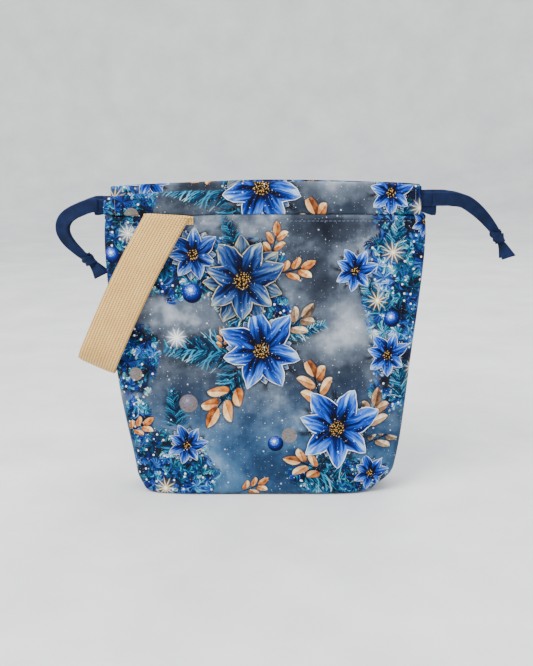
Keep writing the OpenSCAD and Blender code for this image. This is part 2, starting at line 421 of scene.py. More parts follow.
def tape_material():
    """Navy twill tape with a woven edge and a soft sheen."""
    g = Graph("drawstring_tape")
    p = g.cloth()
    x, y, _ = g.parts(p)
    rows = twill_rows(g, g.join(g.math("PINGPONG", x, 1.4), y), TAPE_RIB, 0.8)
    fuzz = g.noise(p, 0.4, 2.0)
    edge = g.step(abs(x), TAPE_W / 2 - 1.1, TAPE_W / 2 - 0.5)
    height = rows * 0.7 + fuzz * 0.25 + edge * 0.3
    patches = g.noise(p, 9.0, 2.0)
    base = g.ramp(patches, (0.3, "0A1432"), (0.7, "142A56"))
    # Painted shade: the low parts between the ribs are darkened to near black
    tone = g.mix(g.step(height, 0.2, 0.95), "050A1C", base)
    rough = g.step(height, 0.0, 1.0, 0.85, 0.6)
    return g.surface(tone, rough, height, 0.15, 0.06, (0.35, 0.5, 1.0), 0.12)


def lining_material():
    """Plain blue cotton, a finer weave than the outside."""
    g = Graph("lining_cotton")
    p = g.cloth()
    weave = plain_weave(g, p, LINING_WEAVE)
    patches = g.noise(p, 18.0, 3.0)
    base = g.ramp(patches, (0.3, "24407E"), (0.7, "3158A4"))
    # Painted shade: the dips of the weave between the threads are darker
    tone = g.mix(g.step(weave, 0.1, 0.9), "1C3266", base)
    return g.surface(tone, g.step(weave, 0.0, 1.0, 0.9, 0.75), weave, 0.06, 0.25, (0.7, 0.8, 1.0))


def wadding_material():
    """White wadding, matted fibres with no weave."""
    g = Graph("wadding")
    p = g.cloth()
    fibres = g.noise(p, 1.2, 5.0, 0.7, warp=1.5)
    tone = g.ramp(fibres, (0.25, "D5D6D3"), (0.7, "F2F2EE"))
    return g.surface(tone, g.step(fibres, 0.2, 0.8, 1.0, 0.85), fibres, 0.5, 0.3)


def thread_material():
    """Sewing thread: two plies that twist round each other."""
    g = Graph("thread")
    p = g.cloth()
    ply = twill_rows(g, p, THREAD_PLY, 0.9)
    fuzz = g.noise(p, 0.3, 2.0)
    # Painted shade: the grooves between the plies are darker and the ridges lighter, with some fuzz
    tone = g.mix(g.step(ply + fuzz * 0.3, 0.1, 0.9), "2A3450", "66728F")
    return g.surface(tone, g.step(ply, 0.0, 1.0, 0.7, 0.45), ply, 0.08, 0.2)


def floor_material():
    """Plain pale plaster."""
    g = Graph("floor")
    p = g.scaled(g.node("ShaderNodeTexCoord", {}, "Object"), 1 / MM)
    cloud = g.noise(p, 90.0, 6.0, 0.6)
    tone = g.ramp(cloud, (0.3, "D6D6D5"), (0.7, "E8E8E6"))
    grain = g.noise(p, 1.5, 3.0)
    return g.surface(tone, g.step(cloud, 0.3, 0.7, 0.55, 0.75), grain, 0.12)


# ---- Printed cotton: flowers, sprigs, needles, baubles and stars of the script's own making ----
# Each motif is placed by (across, up, size, turn in degrees, tone) in millimetres of cloth, from
# the middle of the front panel's base. The tone picks between two colourings of a motif.

FLOWERS = (
    (-18, 176, 40, 12, 0.05), (-3, 120, 38, 43, 0.8), (58, 56, 37, 14, 1.0), (71, 184, 19, 4, 0.95),
    (98, 116, 20, 15, 0.9), (-64, 42, 19, 0, 0.6), (-57, 197, 25, 30, 0.4), (86, 18, 17, 0, 0.8),
    (127, 222, 14, 0, 0.8),
)
SPRIGS = (
    (44, 77, 40, 107, 0.75), (-22, 92, 44, -126, 0.95), (-113, 52, 26, 28, 0.9), (4, 196, 28, 78, 0.8),
    (14, 135, 34, 42, 0.2), (12, 182, 30, 18, 0.9), (80, 54, 38, 72, 0.3), (84, 44, 32, 28, 0.1),
    (46, 20, 34, 160, 0.7), (-18, 3, 24, 28, 0.8), (-10, 101, 20, -84, 0.8), (-34, 122, 17, 96, 0.8),
)
NEEDLES = (
    (-20, 118, 62, 176, 0.35), (-20, 112, 50, 210, 0.2), (-22, 104, 42, 244, 0.3), (34, 22, 56, -10, 0.4),
    (62, 28, 44, 200, 0.45), (-14, 150, 40, 168, 0.9), (16, 134, 34, 12, 0.6), (-22, 200, 30, 112, 0.1),
    (100, 196, 32, 78, 0.5), (92, 150, 34, 118, 0.4), (-72, 58, 32, 96, 0.1), (112, 80, 36, 100, 0.5),
)
ROUNDS = (
    (-58, 166, 8.2, 0, 0.0), (8.3, 43.6, 6.6, 0, 0.0), (101, 145, 6.8, 0, 0.0), (-104.5, 100, 5.6, 0, 1.0),
    (19.5, 50.5, 6.4, 0, 1.0), (-62, 76.5, 7.6, 0, 0.8), (-121, 196, 7.0, 0, 0.0),
)
STARS = (
    (101, 198, 13, 0, 0.8), (89, 160, 12, 20, 0.9), (-82, 5, 13, 0, 0.8), (-71, 130, 12, 10, 0.0),
    (121, 104, 11, 0, 0.7), (-108, 214, 11, 0, 0.5),
)

# Light and dark clouds of the ground: middle, half sizes and how much lighter
CLOUDS = (
    ((52, 138), (24, 22), 0.1), ((-80, 150), (20, 24), 0.0), ((30, 178), (30, 26), -0.07),
    ((56, 216), (34, 10), -0.1), ((-70, 126), (24, 16), -0.08), ((24, 92), (26, 18), -0.06),
    ((-20, 26), (24, 22), 0.0), ((-40, 70), (24, 18), 0.02), ((20, 26), (26, 14), -0.1),
)

# Thickets of foliage: middle and half sizes
THICKETS = (
    ((-108, 112), (22, 30)), ((-66, 182), (34, 22)), ((-98, 214), (40, 18)), ((-122, 178), (16, 40)),
    ((-76, 18), (36, 34)), ((62, 16), (40, 15)), ((-20, 190), (34, 20)), ((-104, 62), (12, 20)),
    ((-6, 150), (26, 20)),
)

# Petals in each of a flower's two rings, and rays of a star
PETALS = 7
STAR_RAYS = 11
# A motif's tone travels as a small height beside its place
TONE_LIFT = 100.0


def nearest(g, p, places):
    """The place of p in the nearest motif's own frame, how far out it is there, and its tone."""
    local, reach = None, None
    for across, up, size, turn, tone in places:
        here = g.node("ShaderNodeMapping", {
            "Vector": p, "Location": (across, up, -tone / TONE_LIFT),
            "Rotation": (0, 0, math.radians(turn)), "Scale": (size, size, 1)}, vector_type="TEXTURE")
        out = g.length(here)
        if local is None:
            local, reach = here, out
        else:
            local = g.mix_vector(out < reach, local, here)
            reach = g.math("MINIMUM", out, reach)
    x, y, z = g.parts(local)
    return x, y, reach, z * TONE_LIFT


def pointed(g, along, round_end, fat):
    """Half width of a petal or leaf with two pointed ends, at a share of its length."""
    return g.above(along) ** round_end * g.above(1.0 - along) ** 0.85 * fat


def petal_ring(g, angle, reach, offset, size, fat, streaks, seed):
    """One ring of pointed petals: depth inside a petal, place along and across it, brush marks."""
    turn = (angle + offset) * (PETALS / (2 * math.pi))
    number = round(turn)
    which = number % float(PETALS)
    luck = g.chance(which * 12.9 + seed)
    fold = (turn - number) * (2 * math.pi / PETALS) + (luck - 0.5) * reach * 0.34
    own = size * (1.0 - luck * 0.2)
    along = reach * g.math("COSINE", fold) / own
    across = reach * g.sine(fold) / own
    edge = pointed(g, along, 0.6, fat) - abs(across)
    marks = g.noise(g.join(across * streaks, along * 1.6, which * 1.3 + seed), 1.0, 3.0)
    return edge, along, across, g.step(marks, 0.28, 0.72)


def petal_paint(g, ring, tone, dull, bright, line, rim_share):
    """Colour of a ring of petals, and where it covers what is under it."""
    edge, along, across, marks = ring
    half = g.step(across, -0.02, 0.02, -0.1, 0.1)
    flow = along * 0.8 + marks * 0.5 + half - 0.24
    body = g.mix(tone, g.ramp(flow, *dull), g.ramp(flow, *bright))
    rib = g.step(abs(across), 0.004, 0.018, 0.75, 0.0) * g.fade(along, 0.6, 0.95)
    body = g.mix(rib, body, "0A1638")
    body = g.mix(g.step(edge, 0.02, 0.075, 0.35, 0.0), body, "0A1638")
    rim = g.fade(edge, 0.012, 0.028) * g.step(marks, 0.1, 0.5, 0.5, 1.0) * rim_share
    return g.mix(rim, body, line), g.step(edge, -0.003, 0.006)


def paint_flowers(g, p, under):
    """Two rings of petals round a gold heart."""
    x, y, reach, tone = nearest(g, p, FLOWERS)
    angle = g.math("ARCTAN2", y, x) + (g.noise(p, 13.0, 1.0) - 0.5) * 0.22
    line = g.mix(tone, "CFC4A4", "F2F6FA")
    dull = ((0.05, "081230"), (0.3, "1A3566"), (0.55, "456488"), (0.8, "84949C"), (1.0, "C2C2B4"))
    bright = ((0.03, "050F36"), (0.24, "0F327C"), (0.45, "2A66C0"), (0.66, "6699DE"), (0.95, "C0DAF8"))
    back = petal_ring(g, angle, reach, 0.45, g.mix_number(tone, 1.0, 0.72), 0.72, 17.0, 3.1)
    shadow = g.step(back[0], -0.16, 0.0, 0.0, 0.9)
    out = g.mix(shadow * g.fade(reach, 0.75, 1.0), under, "081029")
    tint, cover = petal_paint(g, back, tone * 0.45, dull, bright, line, 0.7)
    out = g.mix(cover, out, tint)
    front = petal_ring(g, angle, reach, 0.0, g.mix_number(tone, 0.88, 1.0), 0.74, 13.0, 0.0)
    shadow = g.step(front[0], -0.1, 0.0, 0.0, 0.8)
    out = g.mix(shadow * g.fade(reach, 0.6, 0.95), out, "060D26")
    tint, cover = petal_paint(g, front, tone * 0.85 + 0.15, dull, bright, line, 1.0)
    out = g.mix(cover, out, tint)
    out = g.mix(g.step(reach, 0.1, 0.3, 0.85, 0.0), out, "060C22")
    seeds = g.cells(p, 1.7)
    gold = g.ramp(seeds, (0.08, "EBD08C"), (0.24, "8F6A32"), (0.42, "1E160C"))
    rays = abs(g.sine(angle * 9.0))
    heart = g.fade(reach + (seeds - 0.4) * 0.08 - rays * 0.04, 0.11, 0.13)
    out = g.mix(heart, out, gold)
    return g.mix(reach < 1.0, under, out)


def paint_sprigs(g, p, under):
    """A thin stem with pairs of pointed leaves and one at its tip."""
    x, y, reach, tone = nearest(g, p, SPRIGS)
    y = y + g.sine(x * 3.4) * 0.05
    side = g.math("SIGN", y)
    off = abs(y)
    base = x - off * 0.75 - 0.12 + side * 0.06
    number = g.math("MINIMUM", g.above(round(base * (1 / 0.3))), 1.0)
    luck = g.chance(number * 7.7 + side * 3.1 + tone * 9.0)
    across = (base - number * 0.3) * 0.8
    along = g.above(off - 0.03) / (luck * 0.07 + 0.26)
    tip_wide = pointed(g, (x - 0.56) * (1 / 0.44), 0.62, 0.31)
    edge = g.above(pointed(g, along, 0.62, 0.3) - abs(across), tip_wide - off)
    at_tip = tip_wide > off
    across = g.mix_number(at_tip, across, y)
    marks = g.noise(g.join(x * 9.0, y * 9.0, tone), 1.0, 3.0)
    half = g.step(across, -0.01, 0.01, -0.14, 0.14)
    flow = along * 0.25 + marks * 0.75 + luck * 0.15 + half - 0.05
    orange = g.ramp(flow, (0.15, "8A5126"), (0.4, "CF8E4E"), (0.6, "E9BE86"), (0.85, "FBECCB"))
    tan = g.ramp(flow, (0.15, "5E564C"), (0.45, "9C9080"), (0.65, "CDC0A4"), (0.85, "F2EBDA"))
    leaf = g.mix(tone, tan, orange)
    leaf = g.mix(g.step(abs(across), 0.002, 0.009, 0.7, 0.0), leaf, "4A301A")
    leaf = g.mix(g.step(edge, 0.003, 0.016, 0.75, 0.0), leaf, "5A3A20")
    stem = g.fade(off, 0.008, 0.016) * (x < 0.6) * (x > 0.0)
    out = g.mix(stem, under, "1B1413")
    shadow = g.step(edge, -0.05, 0.0, 0.0, 0.55) * g.fade(along, 0.95, 1.1)
    out = g.mix(shadow * (reach < 1.0), out, "0C1226")
    return g.mix(g.step(edge, 0.0, 0.004), out, leaf)


def needle_pass(g, x, y, lean, gap, wild, tone, under, shades):
    """One pass of needles on both sides of a twig."""
    off = abs(y)
    side = g.math("SIGN", y)
    base = (x - off * lean + off * off * 1.3) * (1 / gap) + wild + side * 0.3
    number = round(base)
    across = abs(base - number)
    pick = g.chance(number * 12.9 + side * 4.0)
    reach = g.step(x, 0.0, 1.0, 0.4, 0.12) * (pick * 0.35 + 0.65)
    along = off / reach
    thin = 0.34 - along * 0.2
    cover = g.fade(across, thin * 0.6, thin) * g.fade(along, 0.9, 1.0)
    cover = cover * (x > 0.0) * g.fade(x, 0.98, 1.0)
    tint = g.ramp(pick * 0.62 + tone * 0.3 + along * 0.12, *shades)
    return g.mix(cover, under, tint)


def paint_needles(g, p, under):
    """Twigs of fine needles over a dark smudge."""
    x, y, _, tone = nearest(g, p, NEEDLES)
    wild = (g.noise(p, 9.0, 2.0) - 0.5) * 1.2
    off = abs(y)
    smudge = g.step(off + (g.noise(p, 6.0, 3.0) - 0.5) * 0.3, 0.1, 0.32, 0.92, 0.0)
    smudge = smudge * g.step(x, -0.05, 0.15) * g.fade(x, 0.7, 1.0)
    dark = g.mix(g.noise(p, 8.0, 2.0), "040A1C", "16384C")
    out = g.mix(smudge, under, dark)
    deep = ((0.1, "06122A"), (0.32, "0D3A58"), (0.54, "1C6E90"), (0.74, "4FA8C4"), (0.92, "DDEADF"))
    out = needle_pass(g, x, y, 1.7, 0.045, wild, tone, out, deep)
    return needle_pass(g, x, y, 0.9, 0.06, wild * 1.4, tone, out, deep)


def paint_rounds(g, p, under):
    """Shiny blue baubles and flat pale discs."""
    x, y, reach, tone = nearest(g, p, ROUNDS)
    light = g.length(g.join(x + 0.15, y - 0.3))
    ball = g.ramp(light, (0.1, "F2F7FB"), (0.24, "5E93DE"), (0.6, "1A49A6"), (1.0, "081B50"))
    specks = g.step(g.noise(p, 1.6, 3.0), 0.52, 0.62, 0.0, 0.5)
    frost = g.step(g.noise(p, 1.1, 3.0), 0.5, 0.58, 0.0, 0.5) * g.fade(light, 0.2, 0.7)
    ball = g.mix(frost, ball, "DCE8F4")
    disc = g.mix(specks, "A0958A", "6A6670")
    out = g.mix(tone, ball, disc)
    cover = g.fade(reach, 0.94, 1.0) * (1.0 - tone * 0.25)
    return g.mix(cover, under, out)


def paint_stars(g, p, under):
    """Thin rays with a bright middle."""
    x, y, reach, tone = nearest(g, p, STARS)
    turn = g.math("ARCTAN2", y, x) * (STAR_RAYS / (2 * math.pi))
    fold = abs(turn - round(turn)) * (2 * math.pi / STAR_RAYS)
    ray = g.fade(reach * fold, 0.012, 0.045) * g.fade(reach, 0.3, 0.85)
    glow = g.step(reach, 0.0, 0.8, 0.75, 0.0)
    tint = g.mix(tone, "F4F8FA", "F0D9A4")
    out = g.mix(glow * (1.0 - tone) * 0.9, under, "E6EEF2")
    out = g.mix(ray, out, tint)
    return g.mix(g.fade(reach, 0.06, 0.14), out, "FBF3DC")


def blob(g, x, y, place, size, ragged):
    """A ragged patch of cloth, 1 in its middle and 0 outside."""
    dx = (x - place[0]) * (1 / size[0])
    dy = (y - place[1]) * (1 / size[1])
    out = g.math("SQRT", dx * dx + dy * dy)
    return g.fade(out + ragged, 0.6, 1.3)


def paint_ground(g, p):
    """Smoky slate and steel blue, darker and lighter in clouds."""
    x, y, _ = g.parts(p)
    cloud = g.noise(p, 58.0, 4.0, 0.55)
    fine = g.noise(p, 9.0, 4.0, 0.6)
    for place, size, lift in CLOUDS:
        cloud = cloud + blob(g, x, y, place, size, (fine - 0.5) * 0.8) * lift
    cloud = cloud + (fine - 0.5) * 0.2
    slate = g.ramp(cloud, (0.25, "323946"), (0.42, "59616D"), (0.55, "7F8893"), (0.74, "C4C9CF"))
    steel = g.ramp(cloud, (0.25, "213E5B"), (0.42, "3D6384"), (0.57, "6088A6"), (0.74, "A8C1D2"))
    low = g.step(y + (cloud - 0.5) * 90.0, 30.0, 110.0, 0.85, 0.0)
    return g.mix(low, slate, steel)


def tuft_pass(g, p, size, rays, shift, share, lift, mass, mood, under, shades):
    """Tufts of short brush strokes that spread out from scattered points."""
    moved = g.vector("ADD", p, (shift, shift * 0.7, 0.0))
    pick = g.parts(g.cells(moved, size, "Color"))[0]
    away = g.vector("SUBTRACT", moved, g.cells(moved, size, "Position"))
    dx, dy, _ = g.parts(away)
    reach = g.math("SQRT", dx * dx + dy * dy) * (1 / size)
    turn = (g.math("ARCTAN2", dy, dx) + reach * (pick - 0.5) * 3.0) * (rays / (2 * math.pi))
    number = round(turn)
    fold = abs(turn - number)
    luck = g.chance(number % float(rays) * 12.9 + pick * 78.0)
    tip = luck * 0.55 + 0.3
    cover = g.fade(fold, 0.2, 0.42) * g.fade(reach, tip * 0.75, tip)
    cover = cover * g.step(mass, 0.12, 0.4) * (pick < share)
    tint = g.ramp(luck * 0.42 + mood * 0.34 + reach * 0.12 + lift, *shades)
    return g.mix(cover, under, tint)


def spots(g, p, size):
    """Distance from scattered points, and a number by lot for each of them."""
    return g.cells(p, size), g.parts(g.cells(p, size, "Color"))[0]


def paint_foliage(g, p, under):
    """Feathery strokes of navy, teal, aqua and cream where the flowers and twigs crowd together."""
    x, y, _ = g.parts(p)
    ragged = (g.noise(p, 16.0, 4.0, 0.65) - 0.5) * 1.5
    mass = g.step(x + ragged * 22.0 + g.sine(y * 0.045) * 6.0, 74.0, 98.0)
    mass = mass * g.step(y, 58.0, 90.0)
    for place, size in THICKETS:
        mass = g.above(mass, blob(g, x, y, place, size, ragged * 0.5))
    patch = g.noise(p, 24.0, 2.0)
    mood = g.step(patch, 0.3, 0.7)
    mood = mood + blob(g, x, y, (90, 150), (16, 52), ragged * 0.4) * 0.42
    depth = g.ramp(g.noise(p, 7.0, 3.0) * 0.7 + mood * 0.25, (0.25, "02040B"), (0.45, "071230"),
                   (0.65, "0F3468"), (0.8, "3E7FA6"))
    out = g.mix(g.step(mass, 0.35, 0.75, 0.0, 0.96), under, depth)
    blues = ((0.1, "050A1E"), (0.3, "0D255A"), (0.5, "1E56A2"), (0.7, "5C97CE"), (0.95, "D5E6F2"))
    greens = ((0.1, "04101E"), (0.3, "0D3D5C"), (0.5, "1C7A96"), (0.7, "62B8C8"), (0.95, "F1EEDC"))
    for size, rays, shift, share, lift, shades in (
            (17.0, 19, 0.0, 0.9, -0.1, blues), (13.0, 17, 31.0, 0.7, -0.08, greens),
            (9.0, 13, 57.0, 0.45, 0.04, blues), (6.5, 9, 83.0, 0.3, 0.14, greens)):
        out = tuft_pass(g, p, size, rays, shift, share, lift, mass, mood, out, shades)
    spot, pick = spots(g, p, 8.0)
    dots = g.fade(spot, 0.08, 0.13) * (pick > 0.5) * g.step(mass, 0.2, 0.5)
    return g.mix(dots, out, g.mix(pick, "F8F4E4", "E8EEF6"))


def paint_snow(g, p, under):
    """Fine white dots of a few sizes."""
    out = under
    for size, radius, share in ((2.8, 0.08, 0.66), (6.0, 0.075, 0.68), (15.0, 0.055, 0.55)):
        spot, pick = spots(g, p, size)
        cover = g.step(spot, radius * 0.5, radius, 0.85, 0.0) * g.step(pick, share, 1.0)
        out = g.mix(cover, out, "E8EEF4")
    return out


def print_material():
    """The bag's outer cotton: the print, with a fine weave over it."""
    g = Graph("printed_cotton", ink)
    p = g.cloth()
    tone = paint_ground(g, p)
    for paint in (paint_foliage, paint_needles, paint_stars, paint_sprigs, paint_rounds,
                  paint_flowers, paint_snow):
        tone = paint(g, p, tone)
    weave = plain_weave(g, p, PRINT_WEAVE)
    # Painted shade: the dips of the weave between the threads are darkened over the print
    tone = g.mix(g.step(weave, 0.05, 0.7, 0.22, 0.0), tone, "111C3A")
    rough = g.step(weave, 0.0, 1.0, 0.82, 0.62)
    return g.surface(tone, rough, weave, 0.07, 0.02, (0.8, 0.88, 1.0), 0.1)


# ---- Body ----

# Rounding at the base's edge, how deep the outer turns in at its top, how far the wadding stops
# short of the top, and the cloth height at which the back panels' base is cut
BASE_ROUND = 3.2
TURN_IN = 3.6
WADDING_SHORT = 4.2
BACK_CLOTH_TOP = 200.0
BODY_COLS = 112
BASE_SHARES = (0.0, 0.25, 0.5, 0.75, 0.93)
WALL_SHARES = np.concatenate([
    [0.0, 0.003, 0.008, 0.014, 0.022, 0.034], np.linspace(0.05, 0.955, 58),
    [0.964, 0.971, 0.977, 0.982, 0.987, 0.991, 0.994, 0.997, 1.0]])


def half_width(z, right):
    """Half width of the body at height z on one side of its middle."""
    share = np.clip(z / BODY_H, 0, 1)
    w = BASE_HALF_W + (1 - (1 - share) ** BELLY_POWER) * (TOP_HALF_W - BASE_HALF_W)
    if right:
        return w - 2.6 * bump(z, 112, 55) - 14.0 * ease(1 - z / 24) ** 2
    return w + 1.8 * bump(z, 92, 55) - 3.0 * ease(1 - z / 16)


def half_depth(z):
    """Half depth of the body at height z."""
    return BASE_HALF_D + np.clip(z / BODY_H, 0, 1) * (TOP_HALF_D - BASE_HALF_D)


def outline(z, lift, inset, cols):
    """Half of the plan at height z, evenly spaced, and each point's distance from the middle."""
    r = max(BASE_ROUND - inset, 1.0)
    tuck = r - math.sqrt(max(0.0, r * r - max(0.0, r - lift) ** 2))
    a = np.linspace(0, math.pi, 721)
    wide = np.where(np.cos(a) >= 0, half_width(z, True), half_width(z, False)) - inset - tuck
    deep = half_depth(z) - inset - tuck
    x = wide * np.sign(np.cos(a)) * np.abs(np.cos(a)) ** (2 / SQUARENESS)
    y = deep * np.abs(np.sin(a)) ** (2 / SQUARENESS)
    run = np.concatenate([[0], np.cumsum(np.hypot(np.diff(x), np.diff(y)))])
    middle = np.interp(0, -x, run)
    at = np.linspace(0, run[-1], cols)
    return np.interp(at, run, x), np.interp(at, run, y), at - middle


def body_layer(side, inset, cols=BODY_COLS):
    """Points and cloth coordinates of one face of a body layer, from the base seam to the top."""
    points, cloth = [], []
    x, y, u = outline(inset, 0.0, inset, cols)
    for share in BASE_SHARES:
        points.append(np.stack([x, y * share, np.full(cols, inset)], axis=1))
        cloth.append(np.stack([u, np.full(cols, -(1 - share) * BASE_HALF_D)], axis=1))
    for share in WALL_SHARES:
        z = inset + share * (BODY_H - inset)
        x, y, u = outline(z, z - inset, inset, cols)
        pinch = 0.9 * (bump(u - u[0], 0, 1.6) + bump(u - u[-1], 0, 1.6)) * ease(z / 12)
        points.append(np.stack([x - np.sign(x) * pinch, y, np.full(cols, z)], axis=1))
        cloth.append(np.stack([u, np.full(cols, z)], axis=1))
    grid = np.array(points)
    grid[..., 1] *= side
    return sag(grid, side), np.array(cloth)


def handle_pull(x):
    """How far the handle pulls down the front's collar seam."""
    return 2.0 * bump(x, -84, 34)


def sag(grid, side):
    """How the filled cloth stands away from its even shape: low waves, dents and a lifted base."""
    x, y, z = (grid[..., k].copy() for k in range(3))
    wide = np.maximum(half_width(z, True), half_width(z, False))
    nx = np.sign(x) * np.clip(np.abs(x) / wide, 0, 1) ** (SQUARENESS - 1) / wide
    ny = side * np.clip(np.abs(y) / half_depth(z), 0, 1) ** (SQUARENESS - 1) / half_depth(z)
    size = np.hypot(nx, ny) + 1e-9
    free = ease(z / 25) * ease((BODY_H - 2 - z) / 30)
    phase = 0.0 if side == FRONT else 1.9
    # Low waves all over, short ones below the mouth and slanted ones above the base
    out = 1.1 * np.sin(x / 41 + 0.8 + phase) * np.sin(z / 62 + 0.5 + phase) * free
    out += 0.75 * np.sin(x / 14 + z / 48 + phase) * ease((z - 130) / 70) * ease((BODY_H - z) / 16)
    out += 0.7 * np.sin((x * 0.8 - z) / 19 + phase) * ease(1 - z / 70) * ease(z / 14)
    # A dent above each lower corner
    out -= 2.0 * bump(x - 0.35 * (z - 30), 84, 6) * ease(z / 10) * ease(1 - (z - 20) / 60)
    out -= 1.3 * bump(x + 0.3 * (z - 20), -86, 6) * ease(z / 8) * ease(1 - (z - 15) / 45)
    # The rolled edge at the seam and the line where the topstitching sinks in
    out += 0.35 * bump(z, BODY_H - 2.6, 1.9) - 0.55 * bump(z, BODY_H - TOPSTITCH_DOWN, 0.7)
    out -= 1.1 * ease((z - (BODY_H - 1.6)) / 1.6)
    grid = grid.copy()
    grid[..., 0] += out * nx / size
    grid[..., 1] += out * ny / size
    # The base rises a little off the floor, and the handle pulls the front's top down
    lifted = 0.7 * ease(1 - np.abs(x - 6) / 92) * ease(1 - z / 26)
    droop = handle_pull(x) * ease((z - 170) / 55) if side == FRONT else 0.0
    grid[..., 2] += lifted - droop
    return grid


def cloth_shell(name, outside, inside, cloth, flip):
    """A closed piece of cloth between two grids of points."""
    rows, cols = outside.shape[:2]
    verts = np.concatenate([outside.reshape(-1, 3), inside.reshape(-1, 3)])
    count = rows * cols
    faces = grid_quads(rows, cols, 0, flip) + grid_quads(rows, cols, count, not flip)
    rim = [(0, j) for j in range(cols)] + [(i, cols - 1) for i in range(1, rows)]
    rim += [(rows - 1, j) for j in range(cols - 2, -1, -1)] + [(i, 0) for i in range(rows - 2, 0, -1)]
    for k, (i, j) in enumerate(rim):
        m, n = rim[(k + 1) % len(rim)]
        a, b = i * cols + j, m * cols + n
        quad = (a, a + count, b + count, b)
        faces.append(quad[::-1] if flip else quad)
    obj = new_object(name, verts, faces)
    set_uv(obj, np.concatenate([cloth.reshape(-1, 2)] * 2))
    return obj


def make_layer(name, side, inset_from, inset_to):
    """One layer of the front or back of the body. The outer one turns in over the wadding's top."""
    outside, cloth = body_layer(side, inset_from)
    inside, _ = body_layer(side, inset_to)
    if inset_from == 0.0:
        turned_in, _ = body_layer(side, LINING_FROM - 0.05)
        share = ease((inside[..., 2:3] - (BODY_H - TURN_IN)) / 1.4)
        inside = inside * (1 - share) + turned_in * share
    if inset_from == WADDING_FROM:
        for grid in (outside, inside):
            grid[..., 2] -= WADDING_SHORT * ease((grid[..., 2] - (BODY_H - 16)) / 12)
    if side == FRONT:
        cloth = cloth * (-1, 1)
    else:
        cloth = cloth * (-1, -1) + (0.0, BACK_CLOTH_TOP)
    return cloth_shell(name, outside, inside, cloth, side == BACK)


def make_body(printed, wadding, lining):
    """The six panels of the body."""
    for side, word in SIDES:
        outer = make_layer("outer_panel_" + word, side, 0.0, OUTER_T)
        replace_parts(finish_piece(outer, printed, "bag"), "outer_" + word)
        pad = make_layer("wadding_panel_" + word, side, WADDING_FROM, WADDING_TO)
        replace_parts(finish_piece(pad, wadding, "bag"), "wadding_" + word)
        inner = make_layer("lining_panel_" + word, side, LINING_FROM, LINING_TO)
        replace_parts(finish_piece(inner, lining, "bag"), "lining_" + word)


# ---- Collar casings ----

CASING_COLS = 110
FACE_SHARES = np.linspace(0, 1, 16)


def front_droop(x):
    """How far the handle has pulled down the top of the front casing."""
    return ease((-16 - x) / 24)


def seam_z(x, side):
    """Height of the collar seam."""
    return BODY_H - (handle_pull(x) if side == FRONT else 0.0)


def casing_top(x, side):
    """Height of a casing's folded edge."""
    # It sinks towards the casing's ends, more on the left and most at the front above the handle
    ends = np.abs(x) / COLLAR_HALF_W
    top = BODY_H + COLLAR_H - 1.6 - 2.2 * ends ** 2 - 1.2 * ends ** 10 + 0.25 * np.sin(x / 23 + side)
    top = top - 2.2 * ease(-x / COLLAR_HALF_W)
    if side == FRONT:
        top = top - 6.6 * front_droop(x) + 0.8 * bump(x, -70, 30)
    return top


def casing_wave(x, side):
    """How far a casing waves forward or back above its seam."""
    return 0.28 * np.sin(x / 9.0 + side) + 0.4 * np.sin(x / 31 + 1.0)


def casing_face(side, inset, cols=CASING_COLS):
    """One surface of a casing: up its outer face, over the fold and down its inner face."""
    x = np.linspace(-COLLAR_HALF_W, COLLAR_HALF_W, cols)
    if side == FRONT:
        x = x - 2.4
    low, top = seam_z(x, side), casing_top(x, side) - inset
    # The hem at each end is a little thicker
    hem = 0.25 * ease((np.abs(x) - (COLLAR_HALF_W - 8)) / 0.8)
    half_t = COLLAR_T / 2 - inset + hem
    rows, run = [], []
    fold = top - half_t
    for share in FACE_SHARES:
        belly = 0.6 * math.sin(math.pi * share) - 0.5 * (1 - share) ** 6
        rows.append((-half_t - belly * ease((0.5 - inset) + 0.6), low + share * (fold - low)))
        run.append(share * (fold - low))
    for a in np.linspace(0, math.pi, 9)[1:-1]:
        rows.append((-half_t * math.cos(a), fold + half_t * math.sin(a)))
        run.append(fold - low + a * half_t)
    for share in FACE_SHARES[::-1]:
        rows.append((half_t + 0.4 * math.sin(math.pi * share), low + share * (fold - low)))
        run.append((fold - low) + math.pi * half_t + (1 - share) * (fold - low))
    waves = casing_wave(x, side)
    grid = np.zeros((len(rows), cols, 3))
    cloth = np.zeros((len(rows), cols, 2))
    for i, (depth, z) in enumerate(rows):
        rise = np.clip((z - low) / (fold - low), 0, 1)
        lean = waves * ease(rise * 1.4)
        grid[i, :, 0] = x
        grid[i, :, 1] = side * (COLLAR_Y - depth) + lean
        grid[i, :, 2] = z
        cloth[i, :, 0] = x
        cloth[i, :, 1] = run[i]
    return grid, cloth


def make_casings(printed):
    """The two tubes that the drawstrings run in."""
    for side, word in SIDES:
        outside, cloth = casing_face(side, 0.0)
        inside, _ = casing_face(side, COLLAR_WALL)
        # Each casing is cut from another place of the printed cloth
        cloth = cloth * (-side, 1) + ((0.0, 99.0) if side == FRONT else (-20.0, 165.0))
        obj = cloth_shell("collar_casing_" + word, outside, inside, cloth, side == BACK)
        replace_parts(finish_piece(obj, printed, "bag"), "casing_" + word)


# ---- Ribbons: webbing and tape ----

